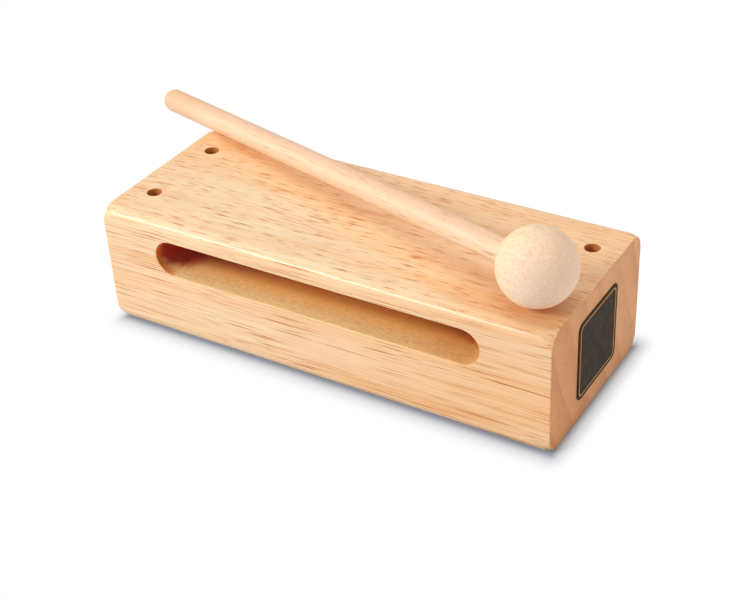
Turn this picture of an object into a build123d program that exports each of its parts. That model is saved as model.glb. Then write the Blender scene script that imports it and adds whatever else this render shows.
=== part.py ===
from build123d import *

import os
from math import asin, atan2, cos, hypot, radians, sin, tan

os.makedirs("parts", exist_ok=True)

# A woodblock with its beater lying on top, in millimetres.
# +X runs along the block, -Y is the front with the slot, and the block stands on Z = 0, centred on the origin.

# Block: one piece of hardwood, its long edges rounded over and its ends cut square and lightly eased
block_length = 190.5
block_width = 76.2
block_height = 50.8
long_edge_radius = 5.0
end_edge_easing = 0.6

# Sound slot: routed into the front with a round cutter, given by the solid wood left around it
slot_height = 14.6
sounding_top_thickness = 7.4
solid_left_end = 24.4
solid_right_end = 27.1
solid_back = 16.2
slot_lip_easing = 0.4

# Screw holes: drilled straight down through the block, two near each end, sanded at the top
hole_diameter = 5.6
hole_from_end = 11.1
hole_from_side = 19.05
hole_rim_easing = 0.3

# Label: a thin plate stuck on the middle of the right end
label_width = 33.0
label_height = 33.0
label_corner_radius = 3.2
label_thickness = 0.4

# Beater: a turned ball glued on the end of a dowel
ball_diameter = 28.6
handle_diameter = 9.5
handle_length = 221.0
handle_end_chamfer = 0.8
socket_depth = 16.5
glue_clearance = 0.05
socket_end_clearance = 0.3

# Where the beater lies: the ball's resting point, the handle's turn from the block's length in degrees,
# and the air left under the ball and under the handle
ball_from_right_end = 13.6
ball_from_front = 16.5
handle_turn = 18.1
rest_clearance = 0.2

# Block
slot_length = block_length - solid_left_end - solid_right_end
slot_depth = block_width - solid_back
slot_x = (solid_left_end - solid_right_end) / 2
slot_z = block_height - sounding_top_thickness - slot_height / 2
hole_spacing_along = block_length - 2 * hole_from_end
hole_spacing_across = block_width - 2 * hole_from_side
left_end = Plane.YZ.offset(-block_length / 2)
slot_plane = Plane(origin=(slot_x, -block_width / 2, slot_z), x_dir=(1, 0, 0), z_dir=(0, -1, 0))

with BuildPart() as block:
    with BuildSketch(left_end):
        with Locations((0, block_height / 2)):
            RectangleRounded(block_width, block_height, long_edge_radius)
    extrude(amount=block_length)
    chamfer(block.faces().filter_by(Axis.X).edges(), end_edge_easing)
    with BuildSketch(slot_plane):
        SlotOverall(slot_length, slot_height)
    extrude(amount=-slot_depth, mode=Mode.SUBTRACT)
    with Locations(Plane.XY.offset(block_height)):
        with GridLocations(hole_spacing_along, hole_spacing_across, 2, 2):
            Hole(hole_diameter / 2)
    slot_mouth = block.faces().sort_by(Axis.Y)[0].inner_wires()
    chamfer(slot_mouth.edges(), slot_lip_easing)
    hole_rims = block.faces().sort_by(Axis.Z)[-1].inner_wires()
    chamfer(hole_rims.edges(), hole_rim_easing)
block.part.label = "block_body"
export_step(block.part, "parts/block_body.step")

# Label on the right end, its back face on the wood
right_end = Plane(origin=(block_length / 2, 0, block_height / 2), x_dir=(0, 1, 0), z_dir=(1, 0, 0))

with BuildPart() as label:
    with BuildSketch(right_end):
        RectangleRounded(label_width, label_height, label_corner_radius)
    extrude(amount=label_thickness)
label.part.label = "end_label"
export_step(label.part, "parts/end_label.step")

# The beater's lie. Seen along the block, the handle is a line through the ball's centre that clears the round
# of the back top edge, so its slope follows from a tangent to a circle about that round's centre.
ball_radius = ball_diameter / 2
handle_radius = handle_diameter / 2
ball_x = block_length / 2 - ball_from_right_end
ball_y = ball_from_front - block_width / 2
ball_z = block_height + rest_clearance + ball_radius
edge_centre_y = block_width / 2 - long_edge_radius
edge_centre_z = block_height - long_edge_radius
across = edge_centre_y - ball_y
down = ball_z - edge_centre_z
tangent_circle = long_edge_radius + rest_clearance + handle_radius
slope = atan2(down, across) - asin(tangent_circle / hypot(across, down))
turn = radians(handle_turn)
ball_centre = Vector(ball_x, ball_y, ball_z)
to_butt = Vector(-cos(turn), sin(turn), -sin(turn) * tan(slope)).normalized()

# The beater is turned about its own axis, so its profiles lie on a plane through that axis:
# local X runs from the ball's centre to the butt end and local Y outwards.
beater_axis = Axis(ball_centre, to_butt)
beater_plane = Plane(origin=ball_centre, x_dir=to_butt, z_dir=to_butt.cross(Vector(0, 0, 1)))
socket_floor = ball_radius - socket_depth
handle_start = socket_floor + socket_end_clearance
handle_tip = handle_start + handle_length

# Ball: a half disc turned into a sphere, with a flat-bottomed socket for the dowel
socket_radius = handle_radius + glue_clearance

with BuildPart() as ball:
    with BuildSketch(beater_plane):
        with BuildLine():
            CenterArc((0, 0), ball_radius, 0, 180)
            Line((-ball_radius, 0), (ball_radius, 0))
        make_face()
        with Locations((socket_floor, 0)):
            Rectangle(
                socket_depth,
                2 * socket_radius,
                align=(Align.MIN, Align.CENTER),
                mode=Mode.SUBTRACT,
            )
    revolve(axis=beater_axis)
ball.part.label = "beater_ball"
export_step(ball.part, "parts/beater_ball.step")

# Handle: a straight dowel, chamfered where it enters the ball and domed at the butt
with BuildPart() as handle:
    with BuildSketch(beater_plane):
        with BuildLine():
            Polyline(
                (handle_tip, 0),
                (handle_start, 0),
                (handle_start, handle_radius - handle_end_chamfer),
                (handle_start + handle_end_chamfer, handle_radius),
                (handle_tip - handle_radius, handle_radius),
            )
            CenterArc((handle_tip - handle_radius, 0), handle_radius, 0, 90)
        make_face()
    revolve(axis=beater_axis)
handle.part.label = "beater_handle"
export_step(handle.part, "parts/beater_handle.step")
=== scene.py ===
import math

import bpy
import numpy as np
from mathutils import Matrix, Vector


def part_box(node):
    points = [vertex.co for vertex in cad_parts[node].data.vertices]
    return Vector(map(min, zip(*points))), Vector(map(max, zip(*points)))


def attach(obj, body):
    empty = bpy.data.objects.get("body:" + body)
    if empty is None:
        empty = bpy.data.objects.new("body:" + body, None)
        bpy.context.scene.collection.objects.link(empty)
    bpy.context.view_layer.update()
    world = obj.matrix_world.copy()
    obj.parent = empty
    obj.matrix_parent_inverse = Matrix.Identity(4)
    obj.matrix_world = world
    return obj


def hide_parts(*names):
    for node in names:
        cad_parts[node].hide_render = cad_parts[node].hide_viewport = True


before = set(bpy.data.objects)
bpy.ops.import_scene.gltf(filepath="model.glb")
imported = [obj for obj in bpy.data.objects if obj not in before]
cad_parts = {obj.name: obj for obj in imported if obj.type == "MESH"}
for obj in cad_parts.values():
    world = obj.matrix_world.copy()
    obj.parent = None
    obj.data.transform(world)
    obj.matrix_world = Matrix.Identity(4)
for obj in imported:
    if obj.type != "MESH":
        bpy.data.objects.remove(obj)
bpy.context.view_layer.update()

# Block: one piece of pale hardwood, planed square, its long edges rounded over with a router and sanded.
# A stopped slot is routed into the front, four screw holes are drilled down through it near the ends,
# and the outside has a thin satin lacquer, while the slot and the holes stay raw.
mm = 0.001
block_low, block_high = (np.array(corner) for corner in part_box("block_body"))
block_length, block_width, block_height = block_high - block_low
long_edge_radius = 5.0 * mm
corner_radius = 6.8 * mm
corner_reach = 4.0 * mm
end_easing = 0.6 * mm
slot_radius = 7.3 * mm
slot_lip = 0.4 * mm
slot_depth = 60.0 * mm
sounding_top = 7.4 * mm
solid_left_end = 24.4 * mm
solid_right_end = 27.1 * mm
slot_z = block_height - sounding_top - slot_radius
slot_first_x = solid_left_end + slot_radius - block_length / 2
slot_last_x = block_length / 2 - solid_right_end - slot_radius
hole_radius = 2.8 * mm
hole_rim = 0.3 * mm
hole_from_end = 11.1 * mm
hole_from_side = 19.05 * mm
hole_x = block_length / 2 - hole_from_end
hole_y = block_width / 2 - hole_from_side

# How finely its surfaces are drawn: along it, across and up its section, and round large and small edges.
# Points that are closer than the weld grid become one.
points_along = 97
points_across = 35
points_up = 17
points_round = 13
points_eased = 7
weld_grid = 1e-7
quarter_turn = np.linspace(0, math.pi / 2, points_eased)


def rounded_outline(half_wide, half_high, radius, inset, points_wide, points_high):
    """A rectangle with quarter-circle corners, drawn in all round by inset. Clockwise from the top, it gives
    four straight runs and four arcs in turn, each as points (across, up) and the ways that they face."""
    wide = np.linspace(-1, 1, points_wide)[:, None] * (half_wide - radius)
    high = np.linspace(-1, 1, points_high)[:, None] * (half_high - radius)
    turn = np.linspace(0, math.pi / 2, points_round)[:, None]
    parts = []
    for side in range(4):
        angle = side * math.pi / 2
        out = np.round([math.sin(angle), math.cos(angle)])
        on = np.round([math.cos(angle), -math.sin(angle)])
        run, reach, other = (high, half_wide, half_high) if side % 2 else (wide, half_high, half_wide)
        parts.append((out * (reach - inset) + run * on, np.ones_like(run) * out))
        facing = np.cos(turn) * out + np.sin(turn) * on
        parts.append((out * (reach - radius) + on * (other - radius) + (radius - inset) * facing, facing))
    return parts


def closed_solid(name, patches, grain):
    """Joins grids of points into one closed mesh. Each grid cell gives two triangles, turned to face as the
    grid's own normals do; points that coincide are welded, and slivers between them dropped. Every corner
    keeps its exact normal, and the attribute cut holds the square of the normal's part along the grain, how
    raw the wood is there, and the square of the normal's part upwards."""
    points, normals, raw, triangles, count = [], [], [], [], 0
    for grid, facing, bare in patches:
        rows, columns = grid.shape[:2]
        index = count + np.arange(rows * columns).reshape(rows, columns)
        a, b, c, d = index[:-1, :-1], index[1:, :-1], index[1:, 1:], index[:-1, 1:]
        triangles.append(np.stack([a, b, c, a, c, d], -1).reshape(-1, 3))
        points.append(grid.reshape(-1, 3))
        normals.append(np.broadcast_to(facing, grid.shape).reshape(-1, 3))
        raw.append(np.broadcast_to(bare, grid.shape[:2]).ravel())
        count += rows * columns
    points, normals, raw = np.concatenate(points), np.concatenate(normals), np.concatenate(raw)
    triangles = np.concatenate(triangles)
    _, first, welded = np.unique(np.round(points / weld_grid), axis=0, return_index=True, return_inverse=True)
    ids = welded.ravel()[triangles]
    whole = (ids[:, 0] != ids[:, 1]) & (ids[:, 1] != ids[:, 2]) & (ids[:, 2] != ids[:, 0])
    ids, triangles = ids[whole], triangles[whole]
    edges = points[first][ids]
    flat = np.cross(edges[:, 1] - edges[:, 0], edges[:, 2] - edges[:, 0])
    inward = (flat * normals[triangles].sum(1)).sum(1) < 0
    ids[inward], triangles[inward] = ids[inward][:, ::-1], triangles[inward][:, ::-1]
    corner_normals = normals[triangles].reshape(-1, 3)
    mesh = bpy.data.meshes.new(name)
    mesh.from_pydata(points[first].tolist(), [], ids.tolist())
    mesh.shade_smooth()
    mesh.normals_split_custom_set(corner_normals.tolist())
    along_grain = (corner_normals @ np.array(grain)) ** 2
    cut = np.stack([along_grain, raw[triangles].ravel(), corner_normals[:, 2] ** 2], -1)
    attribute = mesh.attributes.new("cut", "FLOAT_VECTOR", "CORNER")
    attribute.data.foreach_set("vector", cut.astype(np.float32).ravel())
    piece = bpy.data.objects.new(name, mesh)
    bpy.context.scene.collection.objects.link(piece)
    return piece


# Places along the block, closer together towards its ends, and the round of its long edges at each of them
x_along = np.sin(np.linspace(-1, 1, points_along) * math.pi / 2) * (block_length / 2 - end_easing)
near_end = np.clip((np.abs(x_along) - block_length / 2 + corner_reach) / (corner_reach - end_easing), 0, 1)
edge_radius = long_edge_radius + (corner_radius - long_edge_radius) * near_end ** 2
edge_flare = np.gradient(edge_radius, x_along)
middle_point = points_along // 2


def block_section(radius, inset):
    """The block's cross-section as y and z, set in a little, with the bottom on the floor."""
    parts = rounded_outline(block_width / 2, block_height / 2, radius, inset, points_across, points_up)
    return [(points + (0, block_height / 2), facing) for points, facing in parts]


def carried_along(part):
    """One strip of the section carried along the block's length. Where sanding has left the long edges
    rounder, close to the ends, the strip also faces a little towards the end."""
    strips = [block_section(radius, 0)[part] for radius in edge_radius]
    points = np.empty((len(x_along), len(strips[0][0]), 3))
    points[..., 0] = x_along[:, None]
    points[..., 1:] = [outline for outline, _ in strips]
    normals = np.empty_like(points)
    normals[..., 1:] = [facing for _, facing in strips]
    normals[..., 0] = edge_flare[:, None] * (np.abs(normals[..., 1:]).sum(-1) - 1)
    return points, normals / np.linalg.norm(normals, axis=-1, keepdims=True), 0.0


def eased_end(side):
    """One end of the block: the section drawn in along a quarter circle, then a fan about its middle."""
    points, normals = [], []
    for turn in quarter_turn:
        parts = block_section(corner_radius, end_easing * (1 - math.cos(turn)))
        outline = np.concatenate([p for p, _ in parts])
        facing = np.concatenate([f for _, f in parts])
        x = side * (block_length / 2 - end_easing + end_easing * math.sin(turn))
        endwise = np.full(len(outline), side * math.sin(turn))
        points.append(np.column_stack([np.full(len(outline), x), outline]))
        normals.append(np.column_stack([endwise, math.cos(turn) * facing]))
    middle = np.broadcast_to([side * block_length / 2, 0, block_height / 2], points[-1].shape)
    return [
        (np.stack(points), np.stack(normals), 0.0),
        (np.stack([points[-1], middle]), np.array([side, 0, 0]), 0.0),
    ]


def drilled_quarter(side_x, side_y):
    """A quarter of the top and of the underside, with the screw hole between them. Each point on the
    quarter's rectangle is joined to the point of the hole's rim that lies the same way from its centre."""
    xs = side_x * x_along[middle_point:]
    edge = side_y * (block_width / 2 - edge_radius[middle_point:])
    share = np.linspace(0, 1, points_across // 2 + 1)
    rectangle = np.concatenate([
        np.column_stack([xs, np.zeros(len(xs))]),
        np.column_stack([np.full(len(share), xs[-1]), share * edge[-1]]),
        np.column_stack([xs[::-1], edge[::-1]]),
        np.column_stack([np.full(len(share), xs[0]), share[::-1] * edge[0]]),
    ])
    centre = np.array([side_x * hole_x, side_y * hole_y])
    away = rectangle - centre
    away /= np.linalg.norm(away, axis=1)[:, None]

    def ring(outline, z):
        return np.column_stack([outline, np.full(len(outline), z)])

    def bore(radius, z):
        return ring(centre + radius * away, z)

    up = np.array([0, 0, 1])
    inwards = ring(-away, 0)
    wider = hole_rim * (1 - np.sin(quarter_turn))
    lower = hole_rim * (1 - np.cos(quarter_turn))
    rim = [bore(hole_radius + out, block_height - down) for out, down in zip(wider, lower)]
    rim_normals = [math.sin(t) * inwards + math.cos(t) * up for t in quarter_turn]
    rim_raw = np.sin(quarter_turn)[:, None] * np.ones(len(away))
    return [
        (np.stack([ring(rectangle, block_height), rim[0]]), up, 0.0),
        (np.stack(rim), np.stack(rim_normals), rim_raw),
        (np.stack([rim[-1], bore(hole_radius, 0)]), np.stack([inwards, inwards]), 1.0),
        (np.stack([bore(hole_radius, 0), ring(rectangle, 0)]), -up, 0.0),
    ]


def slotted_front():
    """The front face and the slot behind it. Each point on the face's rectangle is joined to the slot's edge
    in the direction away from the nearest point of the line between the slot's two round ends. The slot
    counts as half raw, which tells it from the holes."""
    front = -block_width / 2
    slot_back = front + slot_depth
    half_raw = 0.5
    zs = np.linspace(corner_radius, block_height - corner_radius, points_up)
    rectangle = np.concatenate([
        np.column_stack([x_along, edge_radius]),
        np.column_stack([np.full(len(zs), x_along[-1]), zs]),
        np.column_stack([x_along[::-1], block_height - edge_radius[::-1]]),
        np.column_stack([np.full(len(zs), x_along[0]), zs[::-1]]),
    ])
    core_x = np.clip(rectangle[:, 0], slot_first_x, slot_last_x)
    core = np.column_stack([core_x, np.full(len(rectangle), slot_z)])
    away = rectangle - core
    away /= np.linalg.norm(away, axis=1)[:, None]

    def ring(outline, y):
        return np.column_stack([outline[:, 0], np.full(len(outline), y), outline[:, 1]])

    def slot(radius, y):
        return ring(core + radius * away, y)

    forward = np.array([0, -1, 0])
    inwards = ring(-away, 0)
    wider = slot_lip * (1 - np.sin(quarter_turn))
    deeper = slot_lip * (1 - np.cos(quarter_turn))
    lip = [slot(slot_radius + out, front + inside) for out, inside in zip(wider, deeper)]
    lip_normals = [math.sin(t) * inwards + math.cos(t) * forward for t in quarter_turn]
    lip_raw = half_raw * np.sin(quarter_turn)[:, None] * np.ones(len(away))
    return [
        (np.stack([ring(rectangle, front), lip[0]]), forward, 0.0),
        (np.stack(lip), np.stack(lip_normals), lip_raw),
        (np.stack([lip[-1], slot(slot_radius, slot_back)]), np.stack([inwards, inwards]), half_raw),
        (np.stack([slot(slot_radius, slot_back), ring(core, slot_back)]), forward, half_raw),
    ]


# The section's strips count clockwise from the top. The top, the bottom and the front are left out of these,
# because they are made with their openings.
top_back, back, bottom_back, bottom_front, top_front = 1, 2, 3, 5, 7
block_patches = [carried_along(part) for part in (top_back, back, bottom_back, bottom_front, top_front)]
block_patches += eased_end(1) + eased_end(-1) + slotted_front()
block_patches += drilled_quarter(1, 1) + drilled_quarter(1, -1)
block_patches += drilled_quarter(-1, 1) + drilled_quarter(-1, -1)
block = closed_solid("block", block_patches, (1, 0, 0))


def shade(red, green, blue):
    """A colour from the 0 to 255 values of a screen's chart, as the light it reflects: in a straight line for
    the darkest values, and by a power for the rest."""
    chart = np.array([red, green, blue]) / 255
    light = np.where(chart <= 0.04045, chart / 12.92, ((chart + 0.055) / 1.055) ** 2.4)
    return (*light.tolist(), 1.0)


class Wiring:
    """The nodes of a material or of the studio, wired by short calls: each adds to them and gives back an
    output. Sizes are in millimetres."""

    def __init__(self, owner):
        owner.use_nodes = True
        self.owner = owner
        self.tree = owner.node_tree

    def put(self, kind, inputs, output=0, **settings):
        """A node of one kind with its settings and its inputs."""
        node = self.tree.nodes.new("ShaderNode" + kind)
        for key, value in settings.items():
            setattr(node, key, value)
        for key, value in inputs.items():
            self.set(node.inputs[key], value)
        return node.outputs[output]

    def set(self, socket, value):
        """Links the socket to another node's output, or gives it a fixed value."""
        if isinstance(value, bpy.types.NodeSocket):
            self.tree.links.new(value, socket)
        else:
            socket.default_value = value

    def reckon(self, operation, first, *others):
        """The first value with each of the others added, multiplied or compared in turn."""
        for other in others:
            first = self.put("Math", {0: first, 1: other}, operation=operation)
        return first

    def plus(self, *values):
        """The values added up."""
        return self.reckon("ADD", *values)

    def times(self, *values):
        """The values multiplied."""
        return self.reckon("MULTIPLY", *values)

    def largest(self, *values):
        """The largest of the values."""
        return self.reckon("MAXIMUM", *values)

    def vector(self, operation, first, second=(0.0, 0.0, 0.0), output=0):
        """Two vectors added, multiplied or compared, or the first one alone made positive or measured."""
        return self.put("VectorMath", {0: first, 1: second}, output, operation=operation)

    def split(self, vector):
        """The three parts of a vector."""
        return self.put("SeparateXYZ", {"Vector": vector}).node.outputs

    def millimetres(self, turn=(0.0, 0.0, 0.0), start=(0.0, 0.0, 0.0)):
        """The place on the piece in millimetres, turned and then moved."""
        where = self.put("TexCoord", {}, "Object")
        scale = (1 / mm, 1 / mm, 1 / mm)
        return self.put("Mapping", {"Vector": where, "Scale": scale, "Rotation": turn, "Location": start})

    def counted(self, place, size):
        """The place counted in features of a size."""
        x, y, z = size
        return self.put("Mapping", {"Vector": place, "Scale": (1 / x, 1 / y, 1 / z)})

    def cloud(self, place, size, detail=2.0, output="Fac"):
        """Soft random patches of about a size, from 0 to 1 and mostly near a half."""
        inputs = {"Vector": self.counted(place, size), "Scale": 1.0, "Detail": detail}
        return self.put("TexNoise", inputs, output)

    def ease(self, value, start, end, low=0.0, high=1.0):
        """Goes smoothly from low to high as the value goes from start to end, and is level outside them."""
        inputs = {"Value": value, "From Min": start, "From Max": end, "To Min": low, "To Max": high}
        return self.put("MapRange", inputs, interpolation_type="SMOOTHSTEP")

    def patches(self, place, size, edge, detail=2.0, low=0.0, high=1.0):
        """A cloud with its patches made plain: it goes from low to high between edge's two values."""
        return self.ease(self.cloud(place, size, detail), *edge, low, high)

    def blend(self, share, first, second):
        """The first colour, which goes over to the second as the share goes from 0 to 1. A mix of colours has
        its share at input 0, the colours at inputs 6 and 7 and the result at output 2."""
        return self.put("Mix", {0: share, 6: first, 7: second}, 2, data_type="RGBA")

    def wavering(self, place, size, reach):
        """The place moved by up to half of reach each way, as the colours of a cloud say."""
        centred = self.vector("SUBTRACT", self.cloud(place, size, output="Color"), (0.5, 0.5, 0.5))
        return self.vector("ADD", place, self.vector("MULTIPLY", centred, reach))

    def vessels(self, place, cell, reach, empty=0.0, core=0.2):
        """Pointed spindles, one to a cell of a size, apart from a share that is empty. A spindle reaches up
        to so many cells from its middle, is full within the share core of that, and fades out from there.
        Gives their depth of colour, which chance sets between faintest and nearly 1."""
        faintest = 0.15
        full_chance = 1.2
        inputs = {"Vector": self.counted(place, cell), "Scale": 1.0}
        cells = self.put("TexVoronoi", inputs, distance="MANHATTAN").node
        chance = self.put("SeparateColor", {"Color": cells.outputs["Color"]}).node
        radius = self.ease(chance.outputs["Red"], empty, 1.0, high=reach)
        spindle = self.ease(cells.outputs["Distance"], radius, self.times(radius, core))
        return self.times(spindle, self.ease(chance.outputs["Green"], 0.0, full_chance, low=faintest))

    def dimples(self, relief, strength):
        """The surface's normal where relief is pressed into it."""
        depth = 0.05 * mm
        return self.put("Bump", {"Height": relief, "Strength": strength, "Distance": -depth}, "Normal")

    def cover(self, piece, looks):
        """Sets the surface's looks and gives the material to the piece."""
        surface = self.tree.nodes["Principled BSDF"]
        for key, value in looks.items():
            self.set(surface.inputs[key], value)
        piece.data.materials.append(self.owner)


# Its wood, by the place in millimetres along the block to the right, across it to the back, and up
block_wood = Wiring(bpy.data.materials.new("block_wood"))
grain_lean = (0.0, math.radians(1.0), math.radians(-1.0))
place = block_wood.millimetres(turn=grain_lean)
along, across, height = block_wood.split(place)
grain = block_wood.wavering(place, size=(70, 22, 16), reach=(0.0, 3.0, 2.0))
cut = block_wood.put("Attribute", {}, "Vector", attribute_name="cut")
end_grain, raw, flat_sawn = block_wood.split(cut)
on_side = block_wood.ease(flat_sawn, 1.0, 0.0)


def by_face(flat, upright):
    """One value on the top and underside and another on the front and back, rounded edges in between."""
    return block_wood.ease(on_side, 0.0, 1.0, flat, upright)


# Tone: cream at the front left of the top and peach towards the back and right, in broad patches and in bands
# across the growth rings, with a tan front right corner and a golden belt along the top, which is partly
# grain figure and partly painted golden shade where the handle's shadow lies
cream = shade(250, 230, 194)
peach = shade(252, 201, 150)
tan = shade(224, 168, 116)
golden_figure_and_shade = shade(232, 174, 98)
ring_slope = (0.0, 0.905, 0.425)
broad = block_wood.patches(grain, size=(160, 40, 30), edge=(0.35, 0.65), high=0.25)
across_rings = block_wood.vector("DOT_PRODUCT", grain, ring_slope, "Value")
ringed = block_wood.put("CombineXYZ", {"X": along, "Y": across_rings})
bands = block_wood.patches(ringed, size=(300, 7, 1), edge=(0.35, 0.68), detail=3.0, high=0.35)
to_back_right = block_wood.ease(block_wood.plus(along, across), -60.0, 95.0)
to_back_right = block_wood.times(to_back_right, by_face(flat=0.5, upright=0.24))
to_back = block_wood.times(block_wood.ease(across, 2.0, 26.0), by_face(flat=0.34, upright=0.0))
side_tone = block_wood.times(on_side, 0.24)
tone = block_wood.plus(broad, bands, block_wood.largest(to_back_right, to_back), side_tone)
corner_along = block_wood.ease(along, 38.0, 75.0)
corner_across = block_wood.ease(across, -2.0, -26.0, high=0.7)
# The belt is partly grain figure and partly painted golden shade over the strip where the handle's shadow
# falls
belt_front = block_wood.ease(across, -4.0, 10.0, high=0.27)
belt_back = block_wood.ease(across, 38.0, 18.0)
belt_right = block_wood.ease(along, 62.0, 12.0)
colour = block_wood.blend(tone, cream, peach)
colour = block_wood.blend(block_wood.times(corner_along, corner_across, flat_sawn), colour, tan)
colour = block_wood.blend(block_wood.times(belt_front, belt_back, belt_right, flat_sawn), colour, golden_figure_and_shade)

# Figure: the late wood of each year's ring, soft bands, fine streaks and fibres, all along the grain
late_brown = shade(238, 172, 112)
band_gold = shade(242, 180, 114)
streak_brown = shade(228, 156, 92)
fibre_tan = shade(240, 186, 132)
fibre_strength = 0.3
ring_width = 13.0
ring_waver = 9.0
wavering_rings = block_wood.times(block_wood.cloud(place, size=(120, 30, 30)), ring_waver)
wavering_rings = block_wood.plus(across_rings, wavering_rings)
year = block_wood.times(wavering_rings, 1 / ring_width)
year = block_wood.put("Math", {0: year}, operation="FRACT")
uneven = block_wood.cloud(place, size=(60, 14, 14))
late_wood = block_wood.times(block_wood.ease(year, 0.72, 0.96), block_wood.ease(year, 1.0, 0.97))
late_wood = block_wood.times(late_wood, block_wood.ease(uneven, 0.4, 0.65), by_face(flat=0.3, upright=0.5))
soft_bands = block_wood.patches(grain, size=(190, 8.0, 3.0), edge=(0.5, 0.66))
soft_bands = block_wood.times(soft_bands, by_face(flat=0.2, upright=0.36))
streaks = block_wood.patches(grain, size=(46, 1.2, 0.42), edge=(0.54, 0.68), detail=1.0)
streaks = block_wood.times(streaks, by_face(flat=0.12, upright=0.42))
fibres = block_wood.patches(grain, size=(24, 0.5, 0.4), edge=(0.3, 0.7), detail=3.0)
colour = block_wood.blend(late_wood, colour, late_brown)
colour = block_wood.blend(soft_bands, colour, band_gold)
colour = block_wood.blend(streaks, colour, streak_brown)
colour = block_wood.blend(block_wood.times(fibres, fibre_strength), colour, fibre_tan)

# Vessels: short brown and golden dashes where the face lies flat, long fine lines on the sides
vessel_brown = shade(202, 106, 22)
vessel_gold = shade(224, 138, 40)
dashes = block_wood.largest(
    block_wood.vessels(grain, cell=(12, 0.95, 0.95), reach=0.85),
    block_wood.vessels(grain, cell=(8, 0.7, 0.75), reach=0.85),
)
lines = block_wood.largest(
    block_wood.vessels(grain, cell=(80, 0.9, 0.6), reach=0.72, core=0.5),
    block_wood.vessels(grain, cell=(34, 0.8, 0.42), reach=0.75, core=0.5),
)
marks = block_wood.largest(
    block_wood.times(dashes, by_face(flat=1.0, upright=0.1)),
    block_wood.times(lines, by_face(flat=0.35, upright=1.2)),
)
clusters = block_wood.patches(grain, size=(60, 12, 9), edge=(0.3, 0.6), low=0.65)
marks = block_wood.times(marks, clusters)
gold_marks = block_wood.vessels(grain, cell=(10, 0.8, 0.8), reach=0.85, empty=0.2)
gold_clusters = block_wood.patches(grain, size=(50, 16, 10), edge=(0.4, 0.58))
colour = block_wood.blend(marks, colour, vessel_brown)
colour = block_wood.blend(block_wood.times(gold_marks, gold_clusters, flat_sawn), colour, vessel_gold)

# End grain: mottled tan with fine pores and the rings as soft reddish bands. It has soaked up its lacquer.
end_light = shade(240, 180, 130)
end_dark = shade(214, 150, 102)
end_front = shade(210, 134, 72)
end_speckle = shade(248, 190, 134)
ring_red = shade(192, 112, 70)
pore_brown = shade(168, 100, 60)
pore_strength = 0.7
mottle = block_wood.cloud(grain, size=(12, 5, 6), detail=3.0)
to_front = block_wood.ease(across, 5.0, -36.0, high=0.5)
speckle = block_wood.patches(grain, size=(12, 0.9, 0.9), edge=(0.35, 0.65), detail=3.0, high=0.3)
rings = block_wood.times(block_wood.ease(year, 0.15, 0.96, high=0.36), block_wood.ease(year, 1.0, 0.94))
rings = block_wood.times(rings, block_wood.ease(uneven, 0.3, 0.65, low=0.45))
pores = block_wood.vessels(grain, cell=(30, 0.55, 0.55), reach=0.6, empty=0.2)
end_colour = block_wood.blend(mottle, end_light, end_dark)
end_colour = block_wood.blend(to_front, end_colour, end_front)
end_colour = block_wood.blend(speckle, end_colour, end_speckle)
end_colour = block_wood.blend(rings, end_colour, ring_red)
end_colour = block_wood.blend(block_wood.times(pores, pore_strength), end_colour, pore_brown)
soaked = block_wood.ease(end_grain, 0.35, 0.9)
colour = block_wood.blend(soaked, colour, end_colour)

# Raw wood of the slot, fuzzy and blotched. Its colour goes from straw at the mouth to brown further in,
# which paints the shade deeper in the slot, and is more golden at the right, which paints the shade near
# that end
straw = shade(255, 223, 164)
honey = shade(255, 203, 120)
shade_amber = shade(232, 150, 62)
deep_shade_umber = shade(186, 90, 35)
slot_shade_gold = shade(246, 168, 62)
fuzz_tan = shade(222, 150, 74)
blotch_brown = shade(204, 128, 44)
fuzz = block_wood.patches(place, size=(1.8, 0.7, 0.7), edge=(0.4, 0.62), high=0.34)
blotches = block_wood.patches(place, size=(7.0, 3.0, 3.0), edge=(0.46, 0.62), detail=3.0)
blotches = block_wood.times(blotches, block_wood.ease(along, 0.0, 50.0, high=0.16))
# Painted shade: darker and browner from the mouth inwards
slot_colour = block_wood.blend(block_wood.ease(across, -36.0, -27.0), straw, honey)
slot_colour = block_wood.blend(block_wood.ease(across, -29.0, -22.6), slot_colour, shade_amber)
slot_colour = block_wood.blend(block_wood.ease(across, -22.0, -8.0), slot_colour, deep_shade_umber)
# Painted shade: more golden towards the right end
slot_colour = block_wood.blend(block_wood.ease(along, 30.0, 62.0, high=0.45), slot_colour, slot_shade_gold)
slot_colour = block_wood.blend(fuzz, slot_colour, fuzz_tan)
slot_colour = block_wood.blend(blotches, slot_colour, blotch_brown)

# Towards the slot's ends: painted shade deep in towards both ends, a red scorch high up in each of them
# that is partly the cutter's burn where it stopped and partly painted shade, and a painted lit golden rim
# on the left end wall at the mouth
painted_shade_brown = shade(170, 64, 36)
scorch_and_shade_light = shade(224, 44, 48)
scorch_and_shade_dark = shade(182, 32, 44)
scorch_and_shade_left = shade(176, 24, 46)
scorch_and_shade_right = shade(196, 44, 46)
painted_light_gold = shade(228, 128, 34)
burn_and_shade_slant = -0.45
burn_and_shade_rise = 0.9
burn_and_shade_raggedness = 2.0
# Painted shade deep in the slot towards its ends
painted_shade_ends = block_wood.largest(
    block_wood.ease(along, -18.0, -50.0, high=0.7),
    block_wood.ease(along, 30.0, 56.0, high=0.75),
)
painted_end_shade = block_wood.times(painted_shade_ends, block_wood.ease(across, -26.0, -19.0))
cutter_marks = block_wood.patches(place, size=(2.2, 9.0, 1.6), edge=(0.35, 0.65), detail=3.0)
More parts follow.
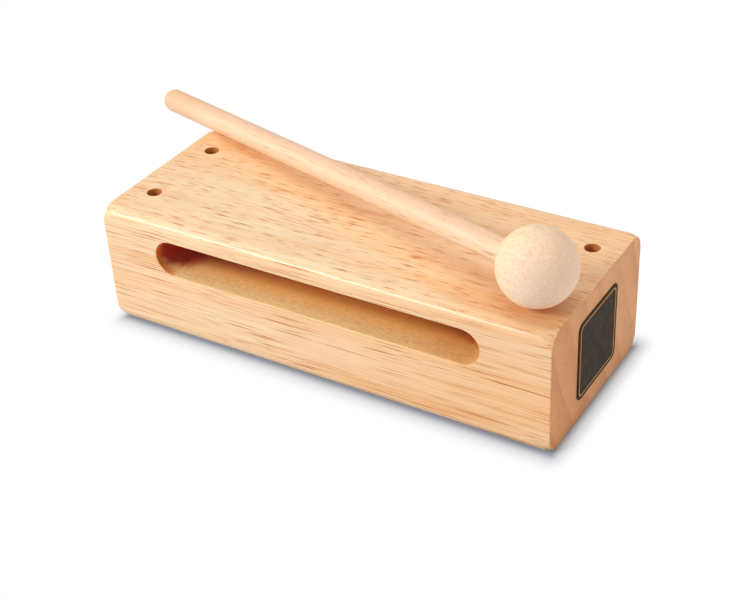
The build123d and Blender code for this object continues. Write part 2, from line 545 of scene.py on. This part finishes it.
# The scorch, partly burn and partly painted shade, lies high up and far in, with ragged edges
burn_and_shade_edge = block_wood.plus(along, block_wood.times(across, burn_and_shade_slant))
burn_and_shade_depth = block_wood.plus(across, block_wood.times(height, burn_and_shade_rise))
burn_and_shade_depth = block_wood.plus(burn_and_shade_depth, block_wood.times(cutter_marks, burn_and_shade_raggedness))
left_burn_and_shade = block_wood.times(block_wood.ease(burn_and_shade_edge, -45.0, -54.0), block_wood.ease(burn_and_shade_depth, -5.5, 0.5))
right_burn_and_shade = block_wood.ease(along, 44.0, 64.0, high=0.8)
right_burn_and_shade = block_wood.times(right_burn_and_shade, block_wood.ease(burn_and_shade_depth, -2.5, 3.5))
# Painted light: a golden lit rim on the left end wall just inside the mouth
rim = block_wood.times(block_wood.ease(along, -62.0, -67.0), block_wood.ease(across, -32.0, -36.0, high=0.9))
scorch_and_shade = block_wood.blend(cutter_marks, scorch_and_shade_light, scorch_and_shade_dark)
scorch_and_shade = block_wood.blend(block_wood.ease(along, -58.0, -69.0, high=0.7), scorch_and_shade, scorch_and_shade_left)
slot_colour = block_wood.blend(painted_end_shade, slot_colour, painted_shade_brown)
slot_colour = block_wood.blend(left_burn_and_shade, slot_colour, scorch_and_shade)
slot_colour = block_wood.blend(right_burn_and_shade, slot_colour, scorch_and_shade_right)
slot_colour = block_wood.blend(rim, slot_colour, painted_light_gold)

# The slot and the holes go over the rest, then the sheen: lacquer lies on the long faces alone
hole_brown = shade(206, 138, 70)
raw_roughness = 0.3
fibre_relief = 0.15
colour = block_wood.blend(block_wood.ease(raw, 0.0, 0.5, high=0.85), colour, slot_colour)
colour = block_wood.blend(block_wood.ease(raw, 0.5, 1.0), colour, hole_brown)
roughness = block_wood.patches(grain, size=(9, 1.2, 1.2), edge=(0.3, 0.7), detail=3.0, low=0.4, high=0.52)
roughness = block_wood.plus(roughness, block_wood.times(raw, raw_roughness))
relief = block_wood.plus(block_wood.times(fibres, fibre_relief), marks)
bare = block_wood.largest(soaked, block_wood.ease(raw, 0.0, 0.5))
block_wood.cover(block, {
    "Base Color": colour,
    "Roughness": roughness,
    "Normal": block_wood.dimples(relief, strength=0.12),
    "Specular IOR Level": 0.1,
    "Coat Weight": block_wood.ease(bare, 0.0, 1.0, low=0.48, high=0.02),
    "Coat Roughness": 0.17,
})
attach(block, "block")
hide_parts("block_body")

# Label: a thin dark plate with rounded corners, printed with a fine gold line inside its edge.
# It is stuck flat on the middle of the right end.
label_low, label_high = (np.array(corner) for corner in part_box("end_label"))
label_thickness, label_width, label_height = label_high - label_low
label_middle = (label_low + label_high) / 2
label_corner = 3.2 * mm
label_softness = 0.12 * mm


def label_plate():
    """The plate's outline raised from the wood, drawn in over its soft edge along a quarter circle, and
    filled with fans about the middle of its face and of its back."""
    points, normals = [], []
    for depth, turn in [(0.0, 0.0), *((label_thickness - label_softness, t) for t in quarter_turn)]:
        inset = label_softness * (1 - math.cos(turn))
        half = (label_width / 2, label_height / 2)
        parts = rounded_outline(*half, label_corner, inset, points_wide=2, points_high=2)
        outline = np.concatenate([p for p, _ in parts]) + label_middle[1:]
        facing = np.concatenate([f for _, f in parts])
        x = label_low[0] + depth + label_softness * math.sin(turn)
        points.append(np.column_stack([np.full(len(outline), x), outline]))
        normals.append(np.column_stack([np.full(len(outline), math.sin(turn)), math.cos(turn) * facing]))
    face = np.broadcast_to([label_high[0], *label_middle[1:]], points[0].shape)
    back = np.broadcast_to([label_low[0], *label_middle[1:]], points[0].shape)
    return [
        (np.stack(points), np.stack(normals), 0.0),
        (np.stack([points[-1], face]), np.array([1, 0, 0]), 0.0),
        (np.stack([points[0], back]), np.array([-1, 0, 0]), 0.0),
    ]


label = closed_solid("label", label_plate(), (1, 0, 0))

# The gold line lies where a place is the line's corner radius away from a smaller box, at any depth
line_inset = 1.6
line_corner = 2.2
line_faint = 0.32
line_full = 0.12
any_depth = 9.0
ink_light = shade(56, 42, 32)
ink_dark = shade(50, 38, 28)
gold_light = shade(232, 180, 104)
gold_dark = shade(206, 152, 78)
line_half_width = label_width / 2 / mm - line_inset - line_corner
line_half_height = label_height / 2 / mm - line_inset - line_corner
label_print = Wiring(bpy.data.materials.new("label_print"))
place = label_print.millimetres(start=tuple(-label_middle / mm))
beyond = label_print.vector("ABSOLUTE", place)
beyond = label_print.vector("SUBTRACT", beyond, (any_depth, line_half_width, line_half_height))
beyond = label_print.vector("MAXIMUM", beyond)
from_line = label_print.vector("LENGTH", beyond, output="Value")
from_line = label_print.reckon("SUBTRACT", from_line, line_corner)
from_line = label_print.put("Math", {0: from_line}, operation="ABSOLUTE")
gold_line = label_print.ease(from_line, line_faint, line_full)
ink = label_print.cloud(place, size=(6, 6, 6), detail=4.0)
ink = label_print.blend(ink, ink_light, ink_dark)
gold = label_print.cloud(place, size=(3, 3, 3), detail=4.0)
gold = label_print.blend(gold, gold_light, gold_dark)
label_print.cover(label, {
    "Base Color": label_print.blend(gold_line, ink, gold),
    "Roughness": label_print.patches(place, size=(4, 4, 4), edge=(0.3, 0.7), detail=4.0, low=0.6, high=0.7),
    "Specular IOR Level": 0.1,
})
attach(label, "block")
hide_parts("end_label")

# Handle: a straight wooden dowel, sanded and left without lacquer, with its butt end turned to a dome.
# It lies on the back edge of the block, and its other end is glued into the ball.
ball_low, ball_high = (np.array(corner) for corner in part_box("beater_ball"))
ball_radius = (ball_high[2] - ball_low[2]) / 2
ball_middle = np.array([ball_high[0] - ball_radius, *((ball_low + ball_high) / 2)[1:]])
handle_low, handle_high = (np.array(corner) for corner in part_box("beater_handle"))
handle_radius = 4.75 * mm
handle_first = -1.9 * mm
handle_chamfer = 0.8 * mm
handle_neck = handle_radius - handle_chamfer
points_turned = 129
points_dome = 25
points_shaft = 61
butt_corner = np.array([handle_low[0], handle_high[1], handle_low[2]])
butt_middle = butt_corner + handle_radius * np.array([1, -1, 1])
handle_reach = np.linalg.norm(butt_middle - ball_middle)
beater_axis = (butt_middle - ball_middle) / handle_reach
beater_side = np.cross([0, 0, 1], beater_axis)
beater_side /= np.linalg.norm(beater_side)
beater_up = np.cross(beater_axis, beater_side)


def turned(profile, facing, raw):
    """A profile turned about the beater's axis. Each point, given as its distance from the ball's centre
    along the axis and its radius, goes round a circle, and so does the direction that it faces."""
    profile, facing = np.array(profile), np.array(facing)
    turn = np.linspace(0, 2 * math.pi, points_turned)[:, None]
    round_axis = np.cos(turn) * beater_side + np.sin(turn) * beater_up

    def spun(pairs):
        return pairs[:, None, :1] * beater_axis + pairs[:, None, 1:] * round_axis

    return ball_middle + spun(profile), spun(np.broadcast_to(facing, profile.shape)), raw


dome = np.linspace(0, math.pi / 2, points_dome)
dome_facing = np.column_stack([np.sin(dome), np.cos(dome)])
dome_profile = np.array([handle_reach, 0]) + handle_radius * dome_facing
shaft = np.linspace(handle_first + handle_chamfer, handle_reach, points_shaft)
shaft_profile = np.column_stack([shaft, np.full(len(shaft), handle_radius)])
neck_profile = [(handle_first, handle_neck), (handle_first + handle_chamfer, handle_radius)]
slanted = 0.5 ** 0.5
handle = closed_solid("handle", [
    turned([(handle_first, 0), (handle_first, handle_neck)], [(-1, 0)], 0.0),
    turned(neck_profile, [(-slanted, slanted)], 0.0),
    turned(shaft_profile, [(0, 1)], 0.0),
    turned(dome_profile, dome_facing, 0.0),
], beater_axis)

# Its wood, by the place along it from the ball: dashed and darker at the butt, with painted shade that makes
# one side of it pinker and darker than the cream side
beater_turn = Matrix([beater_axis, beater_side, beater_up])
beater_start = tuple(-(np.array(beater_turn) @ ball_middle) / mm)
painted_shade_side = (0.0, -0.7, 0.7)
handle_cream = shade(249, 220, 190)
handle_shade_pink = shade(243, 203, 176)
handle_band = shade(245, 202, 158)
handle_fibre = shade(232, 182, 136)
handle_mark = shade(196, 128, 76)
handle_butt = shade(234, 188, 146)
fibre_strength = 0.25
mark_strength = 0.8
fibre_relief = 0.3
handle_wood = Wiring(bpy.data.materials.new("handle_wood"))
place = handle_wood.millimetres(turn=beater_turn.to_euler(), start=beater_start)
from_ball = handle_wood.split(place)[0]
grain = handle_wood.wavering(place, size=(60, 8, 8), reach=(0.0, 1.0, 1.0))
# Painted shade: the side that faces this way is made pinker and darker than the cream side
handle_painted_shade = handle_wood.vector("DOT_PRODUCT", grain, painted_shade_side, "Value")
handle_painted_shade = handle_wood.ease(handle_painted_shade, -0.7, 1.2)
bands = handle_wood.patches(grain, size=(240, 1.6, 1.2), edge=(0.35, 0.65), detail=3.0, high=0.35)
fibres = handle_wood.patches(grain, size=(20, 0.35, 0.35), edge=(0.3, 0.7), detail=3.0)
marks = handle_wood.largest(
    handle_wood.vessels(grain, cell=(9, 0.6, 0.6), reach=0.8, empty=0.25),
    handle_wood.vessels(grain, cell=(26, 0.45, 0.45), reach=0.7, empty=0.1),
)
colour = handle_wood.blend(handle_painted_shade, handle_cream, handle_shade_pink)
colour = handle_wood.blend(bands, colour, handle_band)
colour = handle_wood.blend(handle_wood.times(fibres, fibre_strength), colour, handle_fibre)
colour = handle_wood.blend(handle_wood.times(marks, mark_strength), colour, handle_mark)
colour = handle_wood.blend(handle_wood.ease(from_ball, 170.0, 216.0, high=0.75), colour, handle_butt)
relief = handle_wood.plus(handle_wood.times(fibres, fibre_relief), marks)
handle_wood.cover(handle, {
    "Base Color": colour,
    "Roughness": handle_wood.ease(fibres, 0.0, 1.0, low=0.55, high=0.68),
    "Normal": handle_wood.dimples(relief, strength=0.3),
})
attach(handle, "beater")
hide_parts("beater_handle")

# Ball: the beater's head, turned from the same pale wood with its grain along the handle, sanded and bare.
# A flat-bottomed socket in it takes the dowel, which is glued in.
socket_radius = 4.8 * mm
socket_floor = -2.2 * mm
points_ball = 97
mouth = math.pi - math.asin(socket_radius / ball_radius)
sweep = np.linspace(0, mouth, points_ball)
ball_facing = np.column_stack([-np.cos(sweep), np.sin(sweep)])
socket_mouth = -ball_radius * math.cos(mouth)
ball = closed_solid("ball", [
    turned(ball_radius * ball_facing, ball_facing, 0.0),
    turned([(socket_mouth, socket_radius), (socket_floor, socket_radius)], [(0, -1)], 1.0),
    turned([(socket_floor, socket_radius), (socket_floor, 0)], [(1, 0)], 1.0),
], beater_axis)

# Its wood is cream and fuzzy where it was sanded, with painted shade that makes the side away from the
# handle pinker
ball_cream = shade(252, 230, 194)
ball_shade_pink = shade(253, 222, 200)
ball_band = shade(246, 214, 172)
ball_fuzz = shade(238, 192, 148)
ball_fibre = shade(240, 194, 150)
ball_pore = shade(216, 152, 90)
shade_blush_raggedness = 14.0
fibre_strength = 0.2
pore_strength = 0.35
ball_wood = Wiring(bpy.data.materials.new("ball_wood"))
place = ball_wood.millimetres(turn=beater_turn.to_euler(), start=beater_start)
grain = ball_wood.wavering(place, size=(30, 9, 9), reach=(0.0, 1.2, 1.2))
# Painted shade: pinker on the side away from the handle, with a ragged edge
ragged = ball_wood.times(ball_wood.cloud(place, size=(9, 7, 7)), shade_blush_raggedness)
painted_shade_blush = ball_wood.reckon("SUBTRACT", ball_wood.split(place)[0], ragged)
painted_shade_blush = ball_wood.ease(painted_shade_blush, 2.0, -18.0)
bands = ball_wood.patches(grain, size=(60, 2.6, 2.6), edge=(0.35, 0.65), detail=3.0, high=0.3)
fuzz = ball_wood.patches(place, size=(1.0, 0.7, 0.7), edge=(0.45, 0.68), high=0.48)
fibres = ball_wood.patches(grain, size=(8, 0.4, 0.4), edge=(0.3, 0.7), detail=3.0)
pores = ball_wood.vessels(grain, cell=(5, 0.8, 0.8), reach=0.8, empty=0.1)
colour = ball_wood.blend(painted_shade_blush, ball_cream, ball_shade_pink)
colour = ball_wood.blend(bands, colour, ball_band)
colour = ball_wood.blend(fuzz, colour, ball_fuzz)
colour = ball_wood.blend(ball_wood.times(fibres, fibre_strength), colour, ball_fibre)
colour = ball_wood.blend(ball_wood.times(pores, pore_strength), colour, ball_pore)
relief = ball_wood.plus(ball_wood.times(fibres, fibre_relief), pores)
ball_wood.cover(ball, {
    "Base Color": colour,
    "Roughness": ball_wood.ease(fibres, 0.0, 1.0, low=0.6, high=0.72),
    "Normal": ball_wood.dimples(relief, strength=0.3),
})
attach(ball, "beater")
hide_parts("beater_ball")

# Floor: a sheet of pale paper under the block. Close round the block a dark bluish contact shadow is
# painted into it, narrower at the ends and set in on the lit left side, and it takes the real shadow too;
# a few millimetres further out it goes over to the plain white of the background.
floor_half = 3.0
floor_mesh = bpy.data.meshes.new("floor")
floor_corners = floor_half * np.array([(-1, -1, 0), (1, -1, 0), (1, 1, 0), (-1, 1, 0)])
floor_mesh.from_pydata(floor_corners.tolist(), [], [(0, 1, 2, 3)])
floor = bpy.data.objects.new("floor", floor_mesh)
bpy.context.scene.collection.objects.link(floor)
lit_side = 1.5
under_edge = 1.9
quicker_sideways = 1.35
white = (1.0, 1.0, 1.0, 1.0)
# Painted shadow: the near colour is a dark bluish contact shadow, the far one is the pale paper
painted_shadow_tone = (0.24, 0.3, 0.44, 1.0)
far_tone = (0.84, 0.9, 1.0, 1.0)
painted_shadow_half = (block_length / 2 / mm - lit_side, block_width / 2 / mm - under_edge, 0.0)


def shown(nodes):
    """1 for what is seen, straight or in gloss or glass, and 0 for the light that falls on things."""
    rays = nodes.put("LightPath", {}).node.outputs
    return nodes.largest(rays["Is Camera Ray"], rays["Is Glossy Ray"], rays["Is Transmission Ray"])


paper = Wiring(bpy.data.materials.new("paper"))
paper.tree.nodes.remove(paper.tree.nodes["Principled BSDF"])
place = paper.millimetres(start=(-lit_side, 0.0, 0.0))
beyond = paper.vector("SUBTRACT", paper.vector("ABSOLUTE", place), painted_shadow_half)
beyond = paper.vector("MAXIMUM", beyond)
beyond = paper.vector("MULTIPLY", beyond, (quicker_sideways, 1.0, 1.0))
distance = paper.vector("LENGTH", beyond, output="Value")
# The painted contact shadow fades out over a few millimetres beyond the block
fading = paper.plus(paper.ease(distance, -2.0, 4.3, high=0.45), paper.ease(distance, 1.5, 11.5, high=0.55))
matt = paper.put("BsdfDiffuse", {"Color": paper.blend(fading, painted_shadow_tone, far_tone)})
plain = paper.put("Emission", {"Color": white, "Strength": 1.0})
either = paper.put("MixShader", {0: paper.times(fading, shown(paper)), 1: matt, 2: plain})
paper.set(paper.tree.nodes["Material Output"].inputs["Surface"], either)
floor_mesh.materials.append(paper.owner)

# Light: a white studio whose walls give a warm even light, with one square soft box overhead, a long one
# in front on the left and a low warm fill on the right.
warm = (1.0, 0.94, 0.82, 1.0)
even_strength = 0.33
studio = Wiring(bpy.data.worlds.new("studio"))
bpy.context.scene.world = studio.owner
even_light = studio.tree.nodes["Background"]
studio.set(even_light.inputs["Color"], warm)
studio.set(even_light.inputs["Strength"], even_strength)
backdrop = studio.put("Background", {"Color": white, "Strength": 1.0})
either = studio.put("MixShader", {0: shown(studio), 1: even_light.outputs[0], 2: backdrop})
studio.set(studio.tree.nodes["World Output"].inputs["Surface"], either)


def soft_box(name, where, wide, high, power, colour):
    """A soft box at a place, facing the block's middle."""
    lamp = bpy.data.lights.new(name, "AREA")
    lamp.shape = "RECTANGLE"
    lamp.size = wide
    lamp.size_y = high
    lamp.energy = power
    lamp.color = colour
    facing = (-Vector(where)).to_track_quat("-Z", "Y").to_matrix().to_4x4()
    box = bpy.data.objects.new(name, lamp)
    box.matrix_world = Matrix.Translation(where) @ facing
    bpy.context.scene.collection.objects.link(box)


soft_box("top_box", (-0.12, 0.1, 1.1), wide=0.8, high=0.8, power=3.8, colour=(1.0, 0.995, 1.0))
soft_box("front_box", (-0.72, -0.95, 0.86), wide=0.8, high=0.38, power=13.4, colour=(1.0, 0.995, 0.98))
soft_box("right_fill", (1.0, 0.25, 0.22), wide=0.8, high=0.4, power=2.6, colour=(1.0, 0.9, 0.8))

# Camera: above the front right corner, as the block was photographed, with a slight roll.
camera_place = (0.26017, -0.40370, 0.33485)
azimuth = math.radians(32.61)
elevation = math.radians(33.66)
roll = math.radians(-3.2)
flat_reach = math.cos(elevation)
backward = Vector((math.sin(azimuth) * flat_reach, -math.cos(azimuth) * flat_reach, math.sin(elevation)))
level = Vector((math.cos(azimuth), math.sin(azimuth), 0))
upright = backward.cross(level)
rightward = math.cos(roll) * level + math.sin(roll) * upright
upward = math.cos(roll) * upright - math.sin(roll) * level
lens = bpy.data.cameras.new("camera")
lens.sensor_width = 36.0
lens.lens = 71.948
lens.clip_start = 0.01
camera = bpy.data.objects.new("camera", lens)
camera_turn = Matrix((rightward, upward, backward)).transposed().to_4x4()
camera.matrix_world = Matrix.Translation(camera_place) @ camera_turn
bpy.context.scene.collection.objects.link(camera)
bpy.context.scene.camera = camera
bpy.context.scene.view_settings.view_transform = "Standard"
